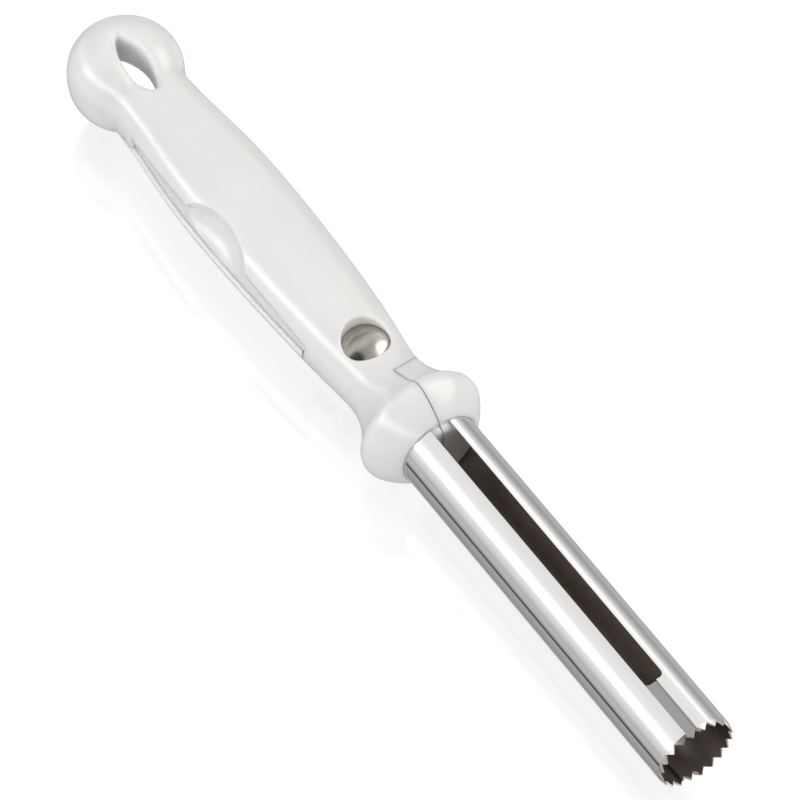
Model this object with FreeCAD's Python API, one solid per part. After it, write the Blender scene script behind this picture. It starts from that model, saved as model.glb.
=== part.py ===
import FreeCAD, Part
import math
import os

# Apple corer: a toothed tube split lengthwise in two halves. One half is fixed in the handle, the
# other is carried by a lever that is riveted to the handle and crosses over in front of the rivet.
# Pulling the lever's grip out to the left swings its half of the tube to the right, which lets the
# core fall out.
# The tube lies along X with its teeth towards +X, and Z is up, along the rivet.
# While it is being built, x = 0 is the front of the collar and z = 0 is the tube's axis. The finished
# pieces are moved so that the origin is under the middle of the corer, on the surface it lies on.
# All sizes are in millimetres and all angles in degrees.

V = FreeCAD.Vector
X_AXIS = V(1, 0, 0)
Z_AXIS = V(0, 0, 1)
ORIGIN = V(0, 0, 0)

# Tube
TUBE_RADIUS = 10.0
TUBE_WALL = 0.65
TUBE_OUT = 101.6
TUBE_IN = 15.0
WINDOW_HALF_WIDTH = 2.65
WINDOW_TO_TIPS = 16.7
WINDOW_CORNER = 1.6
JOGGLE_Y = 0.25
TONGUE_LAP = 0.9
TONGUE_GAP = 0.2

# Teeth
TOOTH_COUNT = 20
TOOTH_LAND = 0.1
TOOTH_DEPTH = 1.5
TOOTH_BEVEL = 0.3

# Grip, which ends inside the loop at the handle's end
HANDLE_MID_Z = 1.3
LOOP_X = -134.0
LOOP_RADIUS = 14.4
LOOP_HALF_HEIGHT = 12.4
GRIP_END_AHEAD = 6.0
GRIP_END_INSET = 3.8
WAIST_X = -23.3
WAIST_INSET = 0.3
WAIST_RADIUS = TUBE_RADIUS - WAIST_INSET
WAIST_STEP = 0.05
NECK_X = -119.0
NECK_HALF_WIDTH = 10.8

# Cross sections of the grip from inside the loop to inside the collar:
# x, half width, half height, height of the middle, and power (2 is an ellipse, more is squarer)
GRIP_SECTIONS = [
    (LOOP_X + GRIP_END_AHEAD, LOOP_RADIUS - GRIP_END_INSET, 9.2, HANDLE_MID_Z, 2.3),
    (NECK_X, NECK_HALF_WIDTH, 9.4, HANDLE_MID_Z, 2.3),
    (-98.0, 12.6, 10.1, HANDLE_MID_Z, 2.3),
    (-77.0, 13.0, 10.4, HANDLE_MID_Z, 2.3),
    (-50.0, 12.0, 10.2, 1.2, 2.2),
    (-32.0, 10.5, 9.9, 0.5, 2.1),
    (WAIST_X, WAIST_RADIUS - WAIST_STEP, WAIST_RADIUS - WAIST_STEP, 0.0, 2.0),
    (-17.0, TUBE_RADIUS, TUBE_RADIUS, 0.0, 2.0),
]
SECTION_POINTS = 16

# Collar
COLLAR_RISE = 6.0
COLLAR_RADIUS = TUBE_RADIUS + COLLAR_RISE
COLLAR_RIM_RADIUS = 3.9
COLLAR_RIM_X = -7.8
COLLAR_FRONT_LEAN = 28.0
COLLAR_LIP = 0.5

# Loop at the handle's end
LOOP_POWER = 2.35
LOOP_BLEND = 5.0
LOOP_WALL = 3.8
LOOP_EDGE_RADIUS = 1.0
PROFILE_POINTS = 12
EYELET_AHEAD = 5.4
EYELET_X = LOOP_X + EYELET_AHEAD
EYELET_HALF_LENGTH = 8.9
EYELET_HALF_WIDTH = 3.1
EYELET_TIP_RADIUS = 0.9
EYELET_RIM_RADIUS = 2.0
EYELET_END_Z = 3.0

# Pivot
PIVOT_X = -30.2
RIVET_HEAD_RADIUS = 5.6
RIVET_HEAD_EDGE = 0.5
RIVET_DOME_HEIGHT = 1.6
RIVET_SHANK_RADIUS = 2.5
RIVET_TAIL_RADIUS = 3.9
RIVET_TAIL_HEIGHT = 1.1
HEAD_POCKET_RADIUS = 5.8
HEAD_RIM_RADIUS = 0.5
HEAD_SEAT_Z = 6.6
WASHER_RADIUS = 5.5
WASHER_THICKNESS = 0.8
WASHER_POCKET_RADIUS = 6.1
WASHER_SEAT_Z = -5.2
PIVOT_CLEARANCE = 0.05
WASHER_CLEARANCE = 0.1

# Split between the handle and the lever
SPLIT_Z = 0.2
SPLIT_GAP = 0.3
OPEN_ANGLE = 12.0
KNUCKLE_RADIUS = 11.6
EYE_RADIUS = 7.4
NECK_INSET = 4.0
CHEEK_RADIUS = 14.9
LEVER_REACH = PIVOT_X - NECK_X
LIP_RADIUS = 0.8

# Finger room on the left flank
FLANK_WALL = 2.4
RELIEF_DEPTH = 1.1
RELIEF_REAR_X = -114.6
RELIEF_FRONT_X = -39.5
RELIEF_END_RISE = 3.5
RELIEF_CROWN_RISE = 6.0
DISH_X = -76.3
DISH_RADIUS = 19.5
DISH_HALF_HEIGHT = 10.2
DISH_Z = 7.0
DISH_FLOOR_Y = -7.2
DISH_POWER = 2.0

# Hollows behind the split, with ribs across them
HOLLOW_REAR_X = -112.0
HOLLOW_FRONT_X = -50.0
HOLLOW_LEFT_Y = -6.5
RIB_COUNT = 4
RIB_THICKNESS = 1.6

# Plastic spigot inside the tube
SPIGOT_OUT = 1.6
SPIGOT_NOSE = 1.6
SPIGOT_CLEARANCE = 0.1

# Room for a cut to run past the work, and the slack for finding an edge by its place
PAST = 5.0
FAR = 200.0
SLACK = 0.02
ALL = (-FAR, FAR)


def block(x_range, y_range, z_range):
    """A box given by its ranges along the three axes."""
    low = V(x_range[0], y_range[0], z_range[0])
    return Part.makeBox(x_range[1] - x_range[0], y_range[1] - y_range[0], z_range[1] - z_range[0], low)


def disc(radius, z_range):
    """A round block about the pivot."""
    return Part.makeCylinder(radius, z_range[1] - z_range[0], V(PIVOT_X, 0, z_range[0]), Z_AXIS)


def turned(edges, axis):
    """A solid turned from a closed chain of edges."""
    return Part.Face(Part.Wire(edges)).revolve(ORIGIN, axis, 360)


def one_solid(shape):
    """The shape's only solid."""
    if len(shape.Solids) != 1:
        raise ValueError("expected one solid, got %d" % len(shape.Solids))
    return shape.Solids[0]


# Handle

def power_curve(half_width, half_height, power, angle):
    """A point, across and up, on an oval between an ellipse and a rounded box."""
    c = math.cos(angle)
    s = math.sin(angle)
    across = half_width * math.copysign(abs(c) ** (2 / power), c)
    up = half_height * math.copysign(abs(s) ** (2 / power), s)
    return across, up


def section(x, half_width, half_height, mid_z, power):
    """A closed smooth section across the handle, with its seam at the bottom."""
    points = []
    for i in range(SECTION_POINTS):
        across, up = power_curve(half_width, half_height, power, math.pi * (2 * i / SECTION_POINTS - 0.5))
        points.append(V(x, across, mid_z + up))
    curve = Part.BSplineCurve()
    curve.interpolate(points, PeriodicFlag=True)
    return Part.Wire([curve.toShape()])


def grip(inset):
    """The grip from inside the loop to inside the collar, with its surface moved in by inset."""
    wires = []
    for x, half_width, half_height, mid_z, power in GRIP_SECTIONS:
        wires.append(section(x, half_width - inset, half_height - inset, mid_z, power))
    return Part.makeLoft(wires, True, False)


def rounded_disc(radius, half_height, power, centre):
    """A thick round disc with a soft edge, turned about an upright axis."""
    profile = []
    for i in range(PROFILE_POINTS + 1):
        across, up = power_curve(radius, half_height, power, math.pi * (i / PROFILE_POINTS - 0.5))
        profile.append(V(-across, 0, up))
    curve = Part.BSplineCurve()
    curve.interpolate(profile)
    return turned([curve.toShape(), Part.makeLine(profile[-1], profile[0])], Z_AXIS).translated(centre)


def eyelet_prism():
    """The pointed oval of the hanging hole, as a tall upright prism."""
    rear = V(EYELET_X - EYELET_HALF_LENGTH, 0, -FAR / 2)
    front = V(EYELET_X + EYELET_HALF_LENGTH, 0, -FAR / 2)
    right = V(EYELET_X, EYELET_HALF_WIDTH, -FAR / 2)
    left = V(EYELET_X, -EYELET_HALF_WIDTH, -FAR / 2)
    outline = Part.Wire([Part.Arc(rear, right, front).toShape(), Part.Arc(front, left, rear).toShape()])
    prism = Part.Face(outline).extrude(V(0, 0, FAR))
    tips = [e for e in prism.Edges if e.BoundBox.ZLength > PAST]
    return prism.makeFillet(EYELET_TIP_RADIUS, tips)


def edges_within(shape, x_range, y_range, z_range):
    """The edges of a shape that lie wholly between the given bounds, with a little slack at the sides."""
    x_range = (x_range[0] - SLACK, x_range[1] + SLACK)
    y_range = (y_range[0] - SLACK, y_range[1] + SLACK)
    room = block(x_range, y_range, z_range).BoundBox
    return [e for e in shape.Edges if room.isInside(e.BoundBox)]


def loop_and_grip():
    """The loop blended into the grip, hollow underneath, with the hanging hole through what is left."""
    rear = grip(0).common(block((-FAR, WAIST_X), ALL, ALL))
    shape = rear.fuse(rounded_disc(LOOP_RADIUS, LOOP_HALF_HEIGHT, LOOP_POWER, V(LOOP_X, 0, HANDLE_MID_Z)))
    near = edges_within(shape, (LOOP_X, NECK_X), ALL, ALL)
    crease = [e for e in near if e.BoundBox.YLength > NECK_HALF_WIDTH]
    shape = shape.makeFillet(LOOP_BLEND, crease)
    reach = LOOP_RADIUS - LOOP_WALL
    shape = shape.cut(Part.makeCylinder(reach, FAR, V(LOOP_X, 0, EYELET_END_Z - FAR), Z_AXIS))
    skirt = edges_within(shape, (LOOP_X - reach, LOOP_X + reach), (-reach, reach), (-FAR, 0))
    shape = shape.makeFillet(LOOP_EDGE_RADIUS, skirt)
    shape = shape.cut(eyelet_prism())
    x_range = (EYELET_X - EYELET_HALF_LENGTH, EYELET_X + EYELET_HALF_LENGTH)
    y_range = (-EYELET_HALF_WIDTH, EYELET_HALF_WIDTH)
    rim = edges_within(shape, x_range, y_range, (EYELET_END_Z + PAST, FAR))
    return shape.makeFillet(EYELET_RIM_RADIUS, rim)


def on_arc(centre, radius, angle):
    """A point on an arc in the upright plane through the axis, by its angle from straight up."""
    return V(centre.x + radius * math.sin(angle), 0, centre.z + radius * math.cos(angle))


def collar():
    """The collar: a hollow flare from the waist to a round rim, and a bulging front down to the tube."""
    rim = V(COLLAR_RIM_X, 0, COLLAR_RADIUS - COLLAR_RIM_RADIUS)
    run = rim.x - WAIST_X
    rise = WAIST_RADIUS - rim.z
    flare_radius = (run ** 2 + rise ** 2 - COLLAR_RIM_RADIUS ** 2) / (2 * (COLLAR_RIM_RADIUS - rise))
    flare = V(WAIST_X, 0, WAIST_RADIUS + flare_radius)
    lean = math.atan2(run, flare.z - rim.z)
    waist = on_arc(flare, flare_radius, math.pi)
    meet = on_arc(flare, flare_radius, math.pi - lean)
    front_lean = math.radians(COLLAR_FRONT_LEAN)
    shoulder = on_arc(rim, COLLAR_RIM_RADIUS, front_lean)
    foot = V(0, 0, TUBE_RADIUS + COLLAR_LIP)
    chord = foot.sub(shoulder)
    outward = on_arc(ORIGIN, 1, front_lean)
    front_radius = -chord.dot(chord) / (2 * chord.dot(outward))
    bulge = on_arc(shoulder, -front_radius, front_lean)
    foot_lean = math.atan2(foot.x - bulge.x, foot.z - bulge.z)
    edges = [
        Part.Arc(waist, on_arc(flare, flare_radius, math.pi - lean / 2), meet).toShape(),
        Part.Arc(meet, on_arc(rim, COLLAR_RIM_RADIUS, 0), shoulder).toShape(),
        Part.Arc(shoulder, on_arc(bulge, front_radius, (front_lean + foot_lean) / 2), foot).toShape(),
        Part.makeLine(foot, ORIGIN),
        Part.makeLine(ORIGIN, V(WAIST_X, 0, 0)),
        Part.makeLine(V(WAIST_X, 0, 0), waist),
    ]
    return turned(edges, X_AXIS)


def spigot():
    """The plastic core that fills the root of the tube and ends in a rounded nose."""
    radius = TUBE_RADIUS - TUBE_WALL - SPIGOT_CLEARANCE
    core = Part.makeCylinder(radius, SPIGOT_OUT + PAST, V(-PAST, 0, 0), X_AXIS)
    nose = [e for e in core.Edges if e.BoundBox.XMin > 0]
    return core.makeFillet(SPIGOT_NOSE, nose)


def handle_form():
    """The outside of the closed handle and lever together, as one solid."""
    return loop_and_grip().fuse(collar()).fuse(spigot())


# Where the handle ends and the lever begins

LEVER_TOP_Z = SPLIT_Z - SPLIT_GAP
BELOW = (-FAR, SPLIT_Z)
ABOVE = (SPLIT_Z, FAR)
LEVER_BELOW = (-FAR, LEVER_TOP_Z)
LEVER_ABOVE = (LEVER_TOP_Z, FAR)
BEHIND_PIVOT = (-FAR, PIVOT_X)
AHEAD_OF_PIVOT = (PIVOT_X, FAR)
LEFT_OF_SEAM = (-FAR, -SPLIT_GAP / 2)
RIGHT_OF_SEAM = (SPLIT_GAP / 2, FAR)


def lever_zone():
    """The space of the lever: the lower layer behind the pivot, and the right half in front of it."""
    bar = block(BEHIND_PIVOT, ALL, LEVER_BELOW).common(disc(LEVER_REACH, LEVER_BELOW))
    bar = bar.cut(disc(CHEEK_RADIUS + SPLIT_GAP, LEVER_BELOW))
    neck = block((PIVOT_X - CHEEK_RADIUS - PAST, PIVOT_X), (-NECK_INSET, FAR), LEVER_BELOW)
    eye = disc(EYE_RADIUS, LEVER_BELOW)
    lower = bar.fuse(neck).fuse(eye).fuse(block(AHEAD_OF_PIVOT, RIGHT_OF_SEAM, LEVER_BELOW))
    upper = block(AHEAD_OF_PIVOT, RIGHT_OF_SEAM, LEVER_ABOVE).cut(disc(KNUCKLE_RADIUS + SPLIT_GAP, LEVER_ABOVE))
    return lower.fuse(upper)


def handle_zone():
    """The space of the handle: the upper layer, the loop, and the left half in front of the pivot."""
    upper = block(BEHIND_PIVOT, ALL, ABOVE).fuse(block(AHEAD_OF_PIVOT, LEFT_OF_SEAM, ABOVE))
    upper = upper.fuse(disc(KNUCKLE_RADIUS, ABOVE))
    rear = block(BEHIND_PIVOT, ALL, BELOW).cut(disc(LEVER_REACH + SPLIT_GAP, BELOW))
    stop = block(BEHIND_PIVOT, (-FAR, -NECK_INSET - SPLIT_GAP), BELOW)
    stop.rotate(V(PIVOT_X, 0, 0), Z_AXIS, OPEN_ANGLE)
    cheek = stop.common(disc(CHEEK_RADIUS, BELOW)).fuse(block(AHEAD_OF_PIVOT, LEFT_OF_SEAM, BELOW))
    cheek = cheek.cut(disc(EYE_RADIUS + SPLIT_GAP, BELOW))
    return upper.fuse(rear).fuse(cheek)


def relief():
    """The long shallow step along the lower left edge of the handle, with an arched top."""
    rear = V(RELIEF_REAR_X, 0, SPLIT_Z + RELIEF_END_RISE)
    crown = V((RELIEF_REAR_X + RELIEF_FRONT_X) / 2, 0, SPLIT_Z + RELIEF_CROWN_RISE)
    front = V(RELIEF_FRONT_X, 0, SPLIT_Z + RELIEF_END_RISE)
    sill_front = V(RELIEF_FRONT_X, 0, SPLIT_Z)
    sill_rear = V(RELIEF_REAR_X, 0, SPLIT_Z)
    outline = Part.Wire([
        Part.Arc(rear, crown, front).toShape(),
        Part.makeLine(front, sill_front),
        Part.makeLine(sill_front, sill_rear),
        Part.makeLine(sill_rear, rear),
    ])
    return Part.Face(outline).extrude(V(0, -FAR, 0)).cut(grip(RELIEF_DEPTH))


def finger_dish(wall):
    """The round scoop that a fingertip reaches into, grown by a wall."""
    centre = V(DISH_X, DISH_FLOOR_Y - DISH_RADIUS, DISH_Z)
    return rounded_disc(DISH_RADIUS + wall, DISH_HALF_HEIGHT + wall, DISH_POWER, centre)


def hollows(core, z_range, left_y, right_y):
    """The row of pockets that lightens a moulding behind the split, with ribs left between them."""
    pitch = (HOLLOW_FRONT_X - HOLLOW_REAR_X + RIB_THICKNESS) / (RIB_COUNT + 1)
    rooms = []
    for i in range(RIB_COUNT + 1):
        x = HOLLOW_REAR_X + i * pitch
        rooms.append(block((x, x + pitch - RIB_THICKNESS), (left_y, right_y), z_range))
    return core.common(Part.makeCompound(rooms))


def handle_body(form, core, fixed_tube):
    """The handle: loop, upper shell and left half of the collar, in one moulding."""
    body = form.common(handle_zone())
    body = body.cut(relief())
    body = body.cut(finger_dish(0))
    body = body.cut(hollows(core, ABOVE, HOLLOW_LEFT_Y, FAR).cut(finger_dish(FLANK_WALL)))
    body = body.cut(disc(RIVET_SHANK_RADIUS, (-PAST, FAR)))
    body = one_solid(body.cut(fixed_tube).cut(disc(HEAD_POCKET_RADIUS, (HEAD_SEAT_Z, FAR))))
    x_range = (PIVOT_X - HEAD_POCKET_RADIUS, PIVOT_X + HEAD_POCKET_RADIUS)
    y_range = (-HEAD_POCKET_RADIUS, HEAD_POCKET_RADIUS)
    rim = edges_within(body, x_range, y_range, (HEAD_SEAT_Z + SLACK, FAR))
    return one_solid(body.makeFillet(HEAD_RIM_RADIUS, rim))


def lever(form, core, moving_tube):
    """The lever: grip bar, pivot eye and right half of the collar, in one moulding."""
    shape = form.common(lever_zone())
    shape = shape.cut(hollows(core, LEVER_BELOW, -FAR, FAR))
    shape = shape.cut(disc(RIVET_SHANK_RADIUS + PIVOT_CLEARANCE, (-FAR, FAR)))
    shape = shape.cut(disc(WASHER_POCKET_RADIUS, (-FAR, WASHER_SEAT_Z)))
    shape = one_solid(shape.cut(moving_tube))
    z_range = (LEVER_TOP_Z - SLACK, LEVER_TOP_Z + SLACK)
    left = edges_within(shape, BEHIND_PIVOT, (-FAR, -NECK_INSET), z_range)
    lip = [e for e in left if e.BoundBox.XLength > LEVER_REACH / 2]
    return one_solid(shape.makeFillet(LIP_RADIUS, lip))


# Tube halves

def ring(outer, inner, x_range, y_range):
    """A length of tube kept between two upright planes."""
    length = x_range[1] - x_range[0]
    start = V(x_range[0], 0, 0)
    tube = Part.makeCylinder(outer, length, start, X_AXIS).cut(Part.makeCylinder(inner, length, start, X_AXIS))
    return tube.common(block(x_range, y_range, ALL))


def tooth_notches():
    """The V notches cut through the mouth of the tube, one between each two teeth."""
    half_width = math.pi * (TUBE_RADIUS - TUBE_WALL) / TOOTH_COUNT - TOOTH_LAND / 2
    reach = TOOTH_DEPTH + PAST
    spread = reach * half_width / TOOTH_DEPTH
    root = V(TUBE_OUT - TOOTH_DEPTH, 0, 0)
    corners = [root, root.add(V(reach, spread, 0)), root.add(V(reach, -spread, 0))]
    notch = Part.Face(Part.makePolygon(corners + [root])).extrude(V(0, 0, TUBE_RADIUS + PAST))
    notches = []
    for i in range(TOOTH_COUNT):
        notches.append(notch.rotated(ORIGIN, X_AXIS, 360 * i / TOOTH_COUNT))
    return notches


def tooth_bevel():
    """The ring that is ground off the outside of the tube's mouth to sharpen the teeth."""
    start = V(TUBE_OUT - TOOTH_DEPTH, 0, 0)
    kept = Part.makeCone(TUBE_RADIUS, TUBE_RADIUS - TOOTH_BEVEL, TOOTH_DEPTH, start, X_AXIS)
    return Part.makeCylinder(TUBE_RADIUS + PAST, TOOTH_DEPTH, start, X_AXIS).cut(kept)


def cut_teeth(shell):
    """The shell with the teeth ground into its end."""
    return one_solid(shell.cut(tooth_bevel()).cut(tooth_notches()))


def fixed_half():
    """The left half of the tube, with straight edges along both windows."""
    return ring(TUBE_RADIUS, TUBE_RADIUS - TUBE_WALL, (-TUBE_IN, TUBE_OUT), (-FAR, -WINDOW_HALF_WIDTH))


def moving_half():
    """The right half of the tube, with a tongue beyond each window that laps inside the left half."""
    window_end = TUBE_OUT - WINDOW_TO_TIPS
    tongue_radius = TUBE_RADIUS - TUBE_WALL - TONGUE_GAP
    tongue_inner = tongue_radius - TUBE_WALL
    full = (-TUBE_IN, TUBE_OUT)
    shell = ring(TUBE_RADIUS, TUBE_RADIUS - TUBE_WALL, full, (JOGGLE_Y, FAR))
    step = ring(TUBE_RADIUS, tongue_inner, full, (JOGGLE_Y, JOGGLE_Y + TUBE_WALL))
    tongue = ring(tongue_radius, tongue_inner, full, (-WINDOW_HALF_WIDTH - TONGUE_LAP, JOGGLE_Y + TUBE_WALL))
    shell = shell.fuse(step).fuse(tongue)
    opening = block((-FAR, window_end), (-WINDOW_HALF_WIDTH, WINDOW_HALF_WIDTH), ALL)
    corners = [e for e in opening.Edges if e.BoundBox.ZLength > FAR and e.BoundBox.XMin > 0]
    opening = opening.makeFillet(WINDOW_CORNER, corners)
    beside = block((-FAR, window_end - WINDOW_CORNER), (-FAR, 0), ALL)
    return one_solid(shell.cut(opening).cut(beside).removeSplitter())


# Rivet

def pivot_rivet():
    """The domed rivet, with its tail formed over the washer."""
    tail_z = WASHER_SEAT_Z - WASHER_CLEARANCE - WASHER_THICKNESS
    edge_z = HEAD_SEAT_Z + RIVET_HEAD_EDGE
    top_z = edge_z + RIVET_DOME_HEIGHT
    dome_radius = (RIVET_HEAD_RADIUS ** 2 + RIVET_DOME_HEIGHT ** 2) / (2 * RIVET_DOME_HEIGHT)
    half = math.asin(RIVET_HEAD_RADIUS / dome_radius) / 2
    dome_mid = V(dome_radius * math.sin(half), 0, top_z - dome_radius * (1 - math.cos(half)))
    tail_radius = (RIVET_TAIL_RADIUS ** 2 + RIVET_TAIL_HEIGHT ** 2) / (2 * RIVET_TAIL_HEIGHT)
    tail_half = math.asin(RIVET_TAIL_RADIUS / tail_radius) / 2
    tail_end = tail_z - RIVET_TAIL_HEIGHT
    tail_mid = V(tail_radius * math.sin(tail_half), 0, tail_end + tail_radius * (1 - math.cos(tail_half)))
    head_corner = V(RIVET_HEAD_RADIUS, 0, edge_z)
    edges = [
        Part.Arc(V(0, 0, top_z), dome_mid, head_corner).toShape(),
        Part.makeLine(head_corner, V(RIVET_HEAD_RADIUS, 0, HEAD_SEAT_Z)),
        Part.makeLine(V(RIVET_HEAD_RADIUS, 0, HEAD_SEAT_Z), V(RIVET_SHANK_RADIUS, 0, HEAD_SEAT_Z)),
        Part.makeLine(V(RIVET_SHANK_RADIUS, 0, HEAD_SEAT_Z), V(RIVET_SHANK_RADIUS, 0, tail_z)),
        Part.makeLine(V(RIVET_SHANK_RADIUS, 0, tail_z), V(RIVET_TAIL_RADIUS, 0, tail_z)),
        Part.Arc(V(RIVET_TAIL_RADIUS, 0, tail_z), tail_mid, V(0, 0, tail_end)).toShape(),
        Part.makeLine(V(0, 0, tail_end), V(0, 0, top_z)),
    ]
    return turned(edges, Z_AXIS).translated(V(PIVOT_X, 0, 0))


def pivot_washer():
    """The flat washer between the lever and the rivet's tail."""
    top = WASHER_SEAT_Z - WASHER_CLEARANCE
    span = (top - WASHER_THICKNESS, top)
    return disc(WASHER_RADIUS, span).cut(disc(RIVET_SHANK_RADIUS, span))


# Assembly

def build():
    """Every piece by its node's name, still in the building position."""
    form = handle_form()
    core = grip(FLANK_WALL)
    fixed_tube = fixed_half()
    moving_tube = moving_half()
    return {
        "handle_body": handle_body(form, core, fixed_tube),
        "lever": lever(form, core, moving_tube),
        "cutter_half_fixed": cut_teeth(fixed_tube),
        "cutter_half_moving": cut_teeth(moving_tube),
        "pivot_rivet": pivot_rivet(),
        "pivot_washer": pivot_washer(),
    }


os.makedirs("parts", exist_ok=True)
END_X = LOOP_X - LOOP_RADIUS
TO_ORIGIN = V(-(TUBE_OUT + END_X) / 2, 0, COLLAR_RADIUS)
for node, shape in build().items():
    placed = shape.translated(TO_ORIGIN)
    placed.exportStep("parts/%s.step" % node)
    print("%-20s valid %s volume %.1f mm3" % (node, placed.isValid(), placed.Volume))
print("origin moved by", TO_ORIGIN)
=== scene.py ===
import math

import bpy
from mathutils import Matrix, Vector


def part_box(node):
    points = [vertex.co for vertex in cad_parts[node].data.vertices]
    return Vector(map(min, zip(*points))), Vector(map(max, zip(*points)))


# Looks for the apple corer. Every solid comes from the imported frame. This script gives the solids
# their materials, and adds the floor, the light and the camera of the photograph.
# The axes are the frame's: +X along the tube to the teeth, +Z up, and +Y to the photograph's right.
# Lengths are in metres and angles in degrees.

# Camera. The last two say how far the middle of the tube's mouth lies right of the view's middle
# and below it
CAMERA_AZIMUTH = 56.60
CAMERA_ELEVATION = 54.54
CAMERA_ROLL = 1.12
CAMERA_DISTANCE = 1.2912
LENS_MM = 260.7
SENSOR_MM = 36.0
MOUTH_RIGHT = 0.0664
MOUTH_DOWN = 0.0793

# Floor, which glows a little so that it stays pale close to the corer
FLOOR_SIZE = 4.0
FLOOR_COLOR = (0.38, 0.38, 0.38, 1.0)
FLOOR_GLOW = 0.62
FLOOR_ROUGHNESS = 0.10
FLOOR_IOR = 2.2

# Brightness of the studio by the angle round the tube, from straight up towards +Y, as the polished
# tube mirrors it: the ground, the dark edge and the softbox on the left, the pale room overhead, the
# softbox on the right, and the ground again
STUDIO = [
    (-180, 0.38), (-162, 0.34), (-148, 0.42), (-134, 0.46), (-131, 0.08), (-126, 0.08), (-122, 0.46),
    (-112, 0.62), (-102, 0.55), (-92, 0.76), (-76, 0.98), (-71, 1.25), (-68, 6.2), (-55, 6.2),
    (-52, 1.25), (-47, 1.15), (-42, 1.03), (-19, 0.96), (55, 1.0), (60, 1.25), (68, 1.25),
    (73, 0.90), (86, 0.55), (97, 0.40), (115, 0.55), (140, 0.46), (162, 0.34), (180, 0.38),
]
BACKDROP = 1.0

# Share of that brightness by how far along the tube the light comes from, where -1 is behind the
# loop and 1 is beyond the teeth, for light from above and for light thrown back from below
ABOVE = [
    (-1.0, 0.42), (-0.74, 0.42), (-0.62, 0.76), (-0.54, 1.0), (-0.38, 1.0), (-0.26, 0.64), (1.0, 0.64),
]
BELOW = [
    (-1.0, 1.2), (-0.72, 1.2), (-0.58, 1.0), (-0.38, 1.0), (-0.26, 1.5), (1.0, 1.5),
]

# Dark card above the corer, which the rivet's dome mirrors: its direction, the cosines of the
# angles from it where the card begins and is full, and how bright it is
CARD_DIRECTION = (0.0, -0.47, 0.88)
CARD_EDGE = (0.925, 0.945)
CARD_LEVEL = 0.05

# Soft light from the right, placed from the middle of the tube's mouth
FILL_PLACE = (0.15, 0.92, 0.75)
FILL_SIZE = 1.2
FILL_POWER = 8.2
FILL_COLOR = (1.0, 0.975, 0.94)

# Plastic. Its edges look rounded by PLASTIC_EDGE, and light goes in by about PLASTIC_DEPTH
PLASTIC_COLOR = (0.762, 0.755, 0.748)
PLASTIC_SHADE = (0.739, 0.732, 0.725)
PLASTIC_ROUGHNESS = (0.22, 0.27)
PLASTIC_IOR = 1.5
PLASTIC_COAT = 0.4
PLASTIC_COAT_ROUGHNESS = 0.18
PLASTIC_SOFTNESS = 0.6
PLASTIC_DEPTH = 0.003
PLASTIC_DEPTH_SHARES = (1.0, 0.95, 0.9)
PLASTIC_EDGE = 0.0009
MOTTLE_SCALE = 45.0
SKIN_SCALE = 700.0
SKIN_DETAIL = 2.0

# Steel of the tube: the polished outside, the roughness added on the ground teeth and inside, the
# tongue's outside with darker painted shade, the ground teeth, and the inside with dark brown painted
# shade
STEEL_COLOR = (0.80, 0.795, 0.785)
STEEL_SHADE = (0.755, 0.75, 0.74)
STEEL_ROUGHNESS = (0.05, 0.11)
DULL_ROUGHNESS = 0.3
# Painted shade: the tongue's outside, which lies one wall deeper, is coloured darker grey
TONGUE_PAINTED_SHADE = (0.36, 0.35, 0.34)
GROUND_COLOR = (0.50, 0.48, 0.455)
# Painted shade: the inside of the tube is coloured dark brown for the shade that falls in it
INSIDE_PAINTED_SHADE_PALE = (0.43, 0.385, 0.35)
INSIDE_PAINTED_SHADE_DEEP = (0.37, 0.325, 0.295)
TUBE_WALL = 0.00065

# A face of the tube counts as outside or inside by how far its normal points away from the axis or
# to it, and as ground by how far it points forward
FACING_OUT = 0.5
FACING_FORWARD = 0.1

# Marks on the tube: scratches drawn out along it, and wider clouds
SCRATCH_STRETCH = (12, 900, 900)
SCRATCH_SCALE = 4.0
SCRATCH_RANGE = (0.3, 0.6)
SCRATCH_RELIEF = (0.000004, 0.08)
CLOUD_STRETCH = (1, 4, 4)
CLOUD_SCALE = 40.0

# Steel of the rivet and the washer
RIVET_COLOR = (0.49, 0.462, 0.42)
RIVET_SHADE = (0.43, 0.402, 0.363)
RIVET_ROUGHNESS = (0.21, 0.26)
RIVET_GRAIN_SCALE = 500.0

# Usual settings of the textures: detail, the middle of a noise's range for a tone and for a value,
# and the depth and strength of a fine relief
DETAIL = 3.0
TONE_RANGE = (0.35, 0.65)
VALUE_RANGE = (0.3, 0.7)
FINE_RELIEF = (0.00001, 0.1)
BEVEL_SAMPLES = 4

# Places of the colour sockets on a mix node, which have the same names as its other sockets
MIX_LOW = 6
MIX_HIGH = 7
MIX_RESULT = 2

WHITE = (1.0, 1.0, 1.0, 1.0)


# Node helpers

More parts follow.
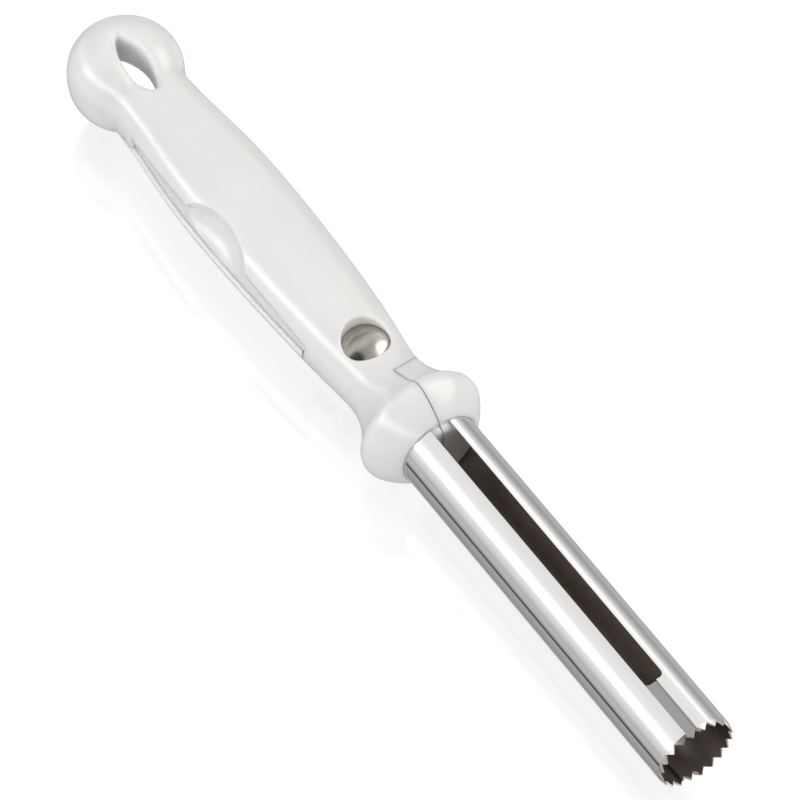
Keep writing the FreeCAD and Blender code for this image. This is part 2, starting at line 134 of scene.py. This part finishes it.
class Graph:
    """A material's or the world's node tree, with short calls for its usual nodes."""

    def __init__(self, owner):
        owner.use_nodes = True
        self.tree = owner.node_tree
        self.tree.nodes.clear()

    def node(self, kind, **settings):
        made = self.tree.nodes.new(kind)
        for name, value in settings.items():
            setattr(made, name, value)
        return made

    def link(self, source, target):
        self.tree.links.new(source, target)

    def place(self):
        """Places on the object."""
        return self.node("ShaderNodeTexCoord").outputs["Object"]

    def stretched_place(self, stretch=(1, 1, 1)):
        """Places on the object, stretched per axis so that a texture can run along the tube."""
        mapping = self.node("ShaderNodeMapping")
        mapping.inputs["Scale"].default_value = stretch
        self.link(self.place(), mapping.inputs["Vector"])
        return mapping.outputs["Vector"]

    def math(self, operation, first, second):
        """A sum on a socket and a number or a second socket."""
        made = self.node("ShaderNodeMath", operation=operation)
        self.link(first, made.inputs[0])
        if isinstance(second, float):
            made.inputs[1].default_value = second
        else:
            self.link(second, made.inputs[1])
        return made.outputs["Value"]

    def vector(self, operation, first, second=None, result="Vector"):
        """A vector sum on a socket, and a constant vector or a second socket where it needs one."""
        made = self.node("ShaderNodeVectorMath", operation=operation)
        self.link(first, made.inputs[0])
        if isinstance(second, tuple):
            made.inputs[1].default_value = second
        elif second is not None:
            self.link(second, made.inputs[1])
        return made.outputs[result]

    def mix(self, factor, low, high):
        """A colour between two, where high is a socket or a constant colour."""
        made = self.node("ShaderNodeMix", data_type="RGBA")
        self.link(factor, made.inputs["Factor"])
        self.link(low, made.inputs[MIX_LOW])
        if isinstance(high, tuple):
            made.inputs[MIX_HIGH].default_value = (*high, 1.0)
        else:
            self.link(high, made.inputs[MIX_HIGH])
        return made.outputs[MIX_RESULT]

    def noise(self, place, scale, detail=DETAIL):
        made = self.node("ShaderNodeTexNoise")
        made.inputs["Scale"].default_value = scale
        made.inputs["Detail"].default_value = detail
        self.link(place, made.inputs["Vector"])
        return made.outputs["Fac"]

    def ramp(self, factor, stops):
        """A colour ramp from (position, colour) pairs."""
        made = self.node("ShaderNodeValToRGB")
        elements = made.color_ramp.elements
        while len(elements) < len(stops):
            elements.new(1.0)
        for element, (place, color) in zip(elements, stops):
            element.position = place
            element.color = (*color, 1.0)
        self.link(factor, made.inputs["Fac"])
        return made.outputs["Color"]

    def tone(self, factor, low, high, span=TONE_RANGE):
        """The colours from low to high, over the middle of the factor's range."""
        return self.ramp(factor, [(span[0], low), (span[1], high)])

    def levels(self, share, stops, unit=1.0):
        """Grey levels in a unit, from (place, level) pairs whose places span the share's 0 to 1."""
        first = stops[0][0]
        span = stops[-1][0] - first
        return self.ramp(share, [((place - first) / span, [level / unit] * 3) for place, level in stops])

    def spread(self, factor, low, high, start=VALUE_RANGE[0], end=VALUE_RANGE[1]):
        """The values from low to high, over the factor's range from start to end."""
        made = self.node("ShaderNodeMapRange")
        made.inputs["From Min"].default_value = start
        made.inputs["From Max"].default_value = end
        made.inputs["To Min"].default_value = low
        made.inputs["To Max"].default_value = high
        self.link(factor, made.inputs["Value"])
        return made.outputs["Result"]

    def bump(self, height, depth, strength, edge=0.0):
        """Fine relief, on edges that look rounded by a small radius."""
        made = self.node("ShaderNodeBump")
        if edge:
            rounded = self.node("ShaderNodeBevel", samples=BEVEL_SAMPLES)
            rounded.inputs["Radius"].default_value = edge
            self.link(rounded.outputs["Normal"], made.inputs["Normal"])
        made.inputs["Distance"].default_value = depth
        made.inputs["Strength"].default_value = strength
        self.link(height, made.inputs["Height"])
        return made.outputs["Normal"]


def surface(name, metallic=0.0):
    """A new material with a principled shader, as the material, its graph and its shader's inputs."""
    material = bpy.data.materials.new(name)
    graph = Graph(material)
    shader = graph.node("ShaderNodeBsdfPrincipled")
    shader.inputs["Metallic"].default_value = metallic
    output = graph.node("ShaderNodeOutputMaterial")
    graph.link(shader.outputs["BSDF"], output.inputs["Surface"])
    return material, graph, shader.inputs


# Materials

def white_plastic():
    """Glossy moulded plastic, with a faint unevenness of tone and gloss."""
    material, graph, inputs = surface("white_plastic_moulded")
    place = graph.stretched_place()
    mottle = graph.noise(place, MOTTLE_SCALE)
    skin = graph.noise(place, SKIN_SCALE, SKIN_DETAIL)
    graph.link(graph.tone(mottle, PLASTIC_SHADE, PLASTIC_COLOR), inputs["Base Color"])
    graph.link(graph.spread(mottle, *PLASTIC_ROUGHNESS), inputs["Roughness"])
    graph.link(graph.bump(skin, *FINE_RELIEF, PLASTIC_EDGE), inputs["Normal"])
    inputs["IOR"].default_value = PLASTIC_IOR
    inputs["Coat Weight"].default_value = PLASTIC_COAT
    inputs["Coat Roughness"].default_value = PLASTIC_COAT_ROUGHNESS
    inputs["Subsurface Weight"].default_value = PLASTIC_SOFTNESS
    inputs["Subsurface Radius"].default_value = PLASTIC_DEPTH_SHARES
    inputs["Subsurface Scale"].default_value = PLASTIC_DEPTH
    return material


def polished_steel(axis, radius):
    """Bright drawn steel with fine scratches along the tube, duller where it is ground, with dark brown
    painted shade inside and darker painted shade on the tongue's outside.
    """
    material, graph, inputs = surface("polished_steel_drawn", 1.0)
    scratches = graph.noise(graph.stretched_place(SCRATCH_STRETCH), SCRATCH_SCALE)
    clouds = graph.noise(graph.stretched_place(CLOUD_STRETCH), CLOUD_SCALE)

    # How far a place is from the tube's axis, and how its normal points
    from_axis = graph.vector("SUBTRACT", graph.place(), tuple(axis))
    from_axis = graph.vector("MULTIPLY", from_axis, (0.0, 1.0, 1.0))
    distance = graph.vector("LENGTH", from_axis, result="Value")
    normal = graph.node("ShaderNodeNewGeometry").outputs["Normal"]
    outward = graph.vector("DOT_PRODUCT", normal, graph.vector("NORMALIZE", from_axis), "Value")
    forward = graph.vector("DOT_PRODUCT", normal, (1.0, 0.0, 0.0), "Value")

    # The inside, the outside of the tongue, which lies one wall deeper, and the ground teeth; the first
    # two get painted shade
    inside = graph.math("LESS_THAN", outward, -FACING_OUT)
    deep = graph.math("LESS_THAN", distance, radius - TUBE_WALL)
    tongue = graph.math("MULTIPLY", deep, graph.math("GREATER_THAN", outward, FACING_OUT))
    ground = graph.math("GREATER_THAN", forward, FACING_FORWARD)

    bright = graph.tone(scratches, STEEL_SHADE, STEEL_COLOR, SCRATCH_RANGE)
    # Painted shade inside the tube, in dark brown tones
    dark = graph.tone(clouds, INSIDE_PAINTED_SHADE_DEEP, INSIDE_PAINTED_SHADE_PALE)
    # The tongue's outside is coloured with its painted shade, and the inside with its own painted shade
    color = graph.mix(inside, graph.mix(tongue, bright, TONGUE_PAINTED_SHADE), dark)
    graph.link(graph.mix(ground, color, GROUND_COLOR), inputs["Base Color"])
    dull = graph.math("MULTIPLY", graph.math("MAXIMUM", inside, ground), DULL_ROUGHNESS)
    graph.link(graph.math("ADD", graph.spread(clouds, *STEEL_ROUGHNESS), dull), inputs["Roughness"])
    graph.link(graph.bump(scratches, *SCRATCH_RELIEF), inputs["Normal"])
    return material


def rivet_steel():
    """Smooth pressed steel of the rivet and washer, a little warmer than the tube."""
    material, graph, inputs = surface("rivet_steel_pressed", 1.0)
    grain = graph.noise(graph.stretched_place(), RIVET_GRAIN_SCALE)
    graph.link(graph.tone(grain, RIVET_SHADE, RIVET_COLOR), inputs["Base Color"])
    graph.link(graph.spread(grain, *RIVET_ROUGHNESS), inputs["Roughness"])
    graph.link(graph.bump(grain, *FINE_RELIEF), inputs["Normal"])
    return material


def dress(nodes, axis, radius):
    """Gives each solid its material."""
    plastic = white_plastic()
    steel = polished_steel(axis, radius)
    rivet = rivet_steel()
    looks = {
        "handle_body": plastic,
        "lever": plastic,
        "cutter_half_fixed": steel,
        "cutter_half_moving": steel,
        "pivot_rivet": rivet,
        "pivot_washer": rivet,
    }
    for node, material in looks.items():
        nodes[node].material_slots[0].material = material


# Studio

def add_floor():
    """A plain pale glossy floor. What it throws back on the corer comes from the studio instead."""
    material, _, inputs = surface("floor_pale")
    inputs["Base Color"].default_value = FLOOR_COLOR
    inputs["Roughness"].default_value = FLOOR_ROUGHNESS
    inputs["IOR"].default_value = FLOOR_IOR
    inputs["Emission Color"].default_value = WHITE
    inputs["Emission Strength"].default_value = FLOOR_GLOW
    bpy.ops.mesh.primitive_plane_add(size=FLOOR_SIZE, location=(0, 0, 0))
    floor = bpy.context.object
    floor.name = "floor"
    floor.data.materials.append(material)
    floor.visible_glossy = False
    floor.visible_diffuse = False


def add_world():
    """The light of the studio round the tube, and a plain pale backdrop for the camera."""
    world = bpy.data.worlds.new("studio")
    bpy.context.scene.world = world
    graph = Graph(world)
    direction = graph.node("ShaderNodeTexCoord").outputs["Generated"]
    parts = graph.node("ShaderNodeSeparateXYZ")
    graph.link(direction, parts.inputs["Vector"])

    turn = graph.math("ARCTAN2", parts.outputs["Y"], parts.outputs["Z"])
    brightest = max(level for _, level in STUDIO)
    ring = graph.levels(graph.spread(turn, 0.0, 1.0, -math.pi, math.pi), STUDIO, brightest)
    along = graph.spread(parts.outputs["X"], 0.0, 1.0, -1.0, 1.0)
    under = graph.math("LESS_THAN", parts.outputs["Z"], 0.0)
    share = graph.mix(under, graph.levels(along, ABOVE), graph.levels(along, BELOW))
    toward_card = tuple(Vector(CARD_DIRECTION).normalized())
    facing = graph.vector("DOT_PRODUCT", direction, toward_card, "Value")
    card = graph.spread(facing, 1.0, CARD_LEVEL, *CARD_EDGE)
    light = graph.vector("MULTIPLY", graph.vector("MULTIPLY", ring, share), card)

    around = graph.node("ShaderNodeBackground")
    around.inputs["Strength"].default_value = brightest
    graph.link(light, around.inputs["Color"])
    behind = graph.node("ShaderNodeBackground")
    behind.inputs["Color"].default_value = WHITE
    behind.inputs["Strength"].default_value = BACKDROP
    ray = graph.node("ShaderNodeLightPath")
    choice = graph.node("ShaderNodeMixShader")
    graph.link(ray.outputs["Is Camera Ray"], choice.inputs["Fac"])
    graph.link(around.outputs["Background"], choice.inputs[1])
    graph.link(behind.outputs["Background"], choice.inputs[2])
    output = graph.node("ShaderNodeOutputWorld")
    graph.link(choice.outputs["Shader"], output.inputs["Surface"])


def add_fill(aim):
    """A large soft light from the right, which the tube doesn't mirror."""
    light = bpy.data.lights.new("fill", "AREA")
    light.shape = "DISK"
    light.size = FILL_SIZE
    light.energy = FILL_POWER
    light.color = FILL_COLOR
    fill = bpy.data.objects.new("fill", light)
    bpy.context.scene.collection.objects.link(fill)
    place = Vector(FILL_PLACE)
    fill.location = aim + place
    fill.rotation_euler = place.to_track_quat("Z", "Y").to_euler()


def add_camera(mouth):
    """The photograph's camera, placed from the middle of the tube's mouth."""
    azimuth = math.radians(CAMERA_AZIMUTH)
    elevation = math.radians(CAMERA_ELEVATION)
    roll = math.radians(CAMERA_ROLL)
    level = Matrix((
        (math.cos(azimuth), math.sin(azimuth), 0),
        (0, 0, 1),
        (math.sin(azimuth), -math.cos(azimuth), 0),
    ))
    tilt = Matrix.Rotation(elevation, 3, "X")
    turn = Matrix.Rotation(roll, 3, "Z")
    to_camera = turn @ tilt @ level
    eye = to_camera.transposed() @ Vector((-MOUTH_RIGHT, MOUTH_DOWN, CAMERA_DISTANCE))
    data = bpy.data.cameras.new("camera")
    data.lens = LENS_MM
    data.sensor_width = SENSOR_MM
    data.clip_end = FLOOR_SIZE * 2
    camera = bpy.data.objects.new("camera", data)
    bpy.context.scene.collection.objects.link(camera)
    camera.matrix_world = Matrix.Translation(mouth + eye) @ to_camera.transposed().to_4x4()
    bpy.context.scene.camera = camera


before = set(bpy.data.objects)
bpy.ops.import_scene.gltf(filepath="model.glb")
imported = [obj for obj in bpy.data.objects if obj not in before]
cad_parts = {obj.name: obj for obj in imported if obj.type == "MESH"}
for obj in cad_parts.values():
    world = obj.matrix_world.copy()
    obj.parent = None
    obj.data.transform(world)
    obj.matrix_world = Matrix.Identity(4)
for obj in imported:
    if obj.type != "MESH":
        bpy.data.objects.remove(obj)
bpy.context.view_layer.update()
tube_low, tube_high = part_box("cutter_half_fixed")
mouth = Vector((tube_high.x, 0, (tube_low.z + tube_high.z) / 2))
tube_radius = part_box("cutter_half_moving")[1].y
dress(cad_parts, mouth, tube_radius)
add_floor()
add_world()
add_fill(mouth)
add_camera(mouth)
bpy.context.scene.view_settings.view_transform = "Standard"
